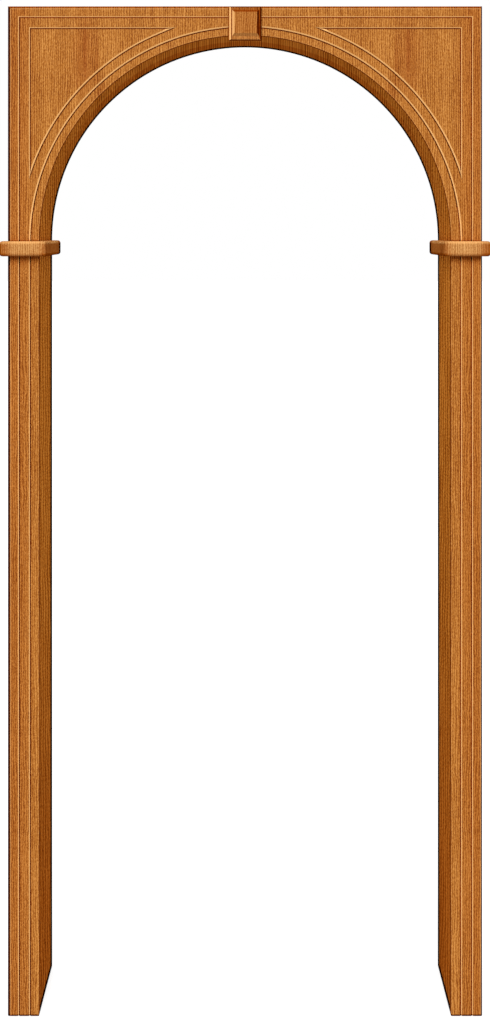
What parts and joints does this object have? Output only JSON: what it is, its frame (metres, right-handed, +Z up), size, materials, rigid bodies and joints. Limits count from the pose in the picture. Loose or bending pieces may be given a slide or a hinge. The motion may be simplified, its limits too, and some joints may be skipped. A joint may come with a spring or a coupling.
{
  "type": "doorway arch trim",
  "caption": "Arched doorway trim kit: routed face boards with spandrels, keystone, wrap-round imposts and reveal linings that clasp a wall.",
  "frame": {"origin": "on the floor, midway between the jambs and midway through the wall", "axes": "+Z up, +Y through the wall from the carved side to the plain side, +X across the opening"},
  "size_m": [1.072, 0.185, 2.205],
  "materials": {
    "face_board": "satin lacquered beech veneer",
    "keystone": "satin lacquered beech",
    "impost": "satin lacquered beech",
    "lining": "satin lacquered beech veneer"
  },
  "bodies": {
    "root": {"head_panel_front": "face_board", "pilaster_front_left": "face_board", "pilaster_front_right": "face_board", "keystone": "keystone", "impost_left": "impost", "impost_right": "impost", "vault_lining": "lining", "jamb_lining_left": "lining", "jamb_lining_right": "lining", "head_panel_rear": "face_board", "pilaster_rear_left": "face_board", "pilaster_rear_right": "face_board"}
  },
  "joints": []
}
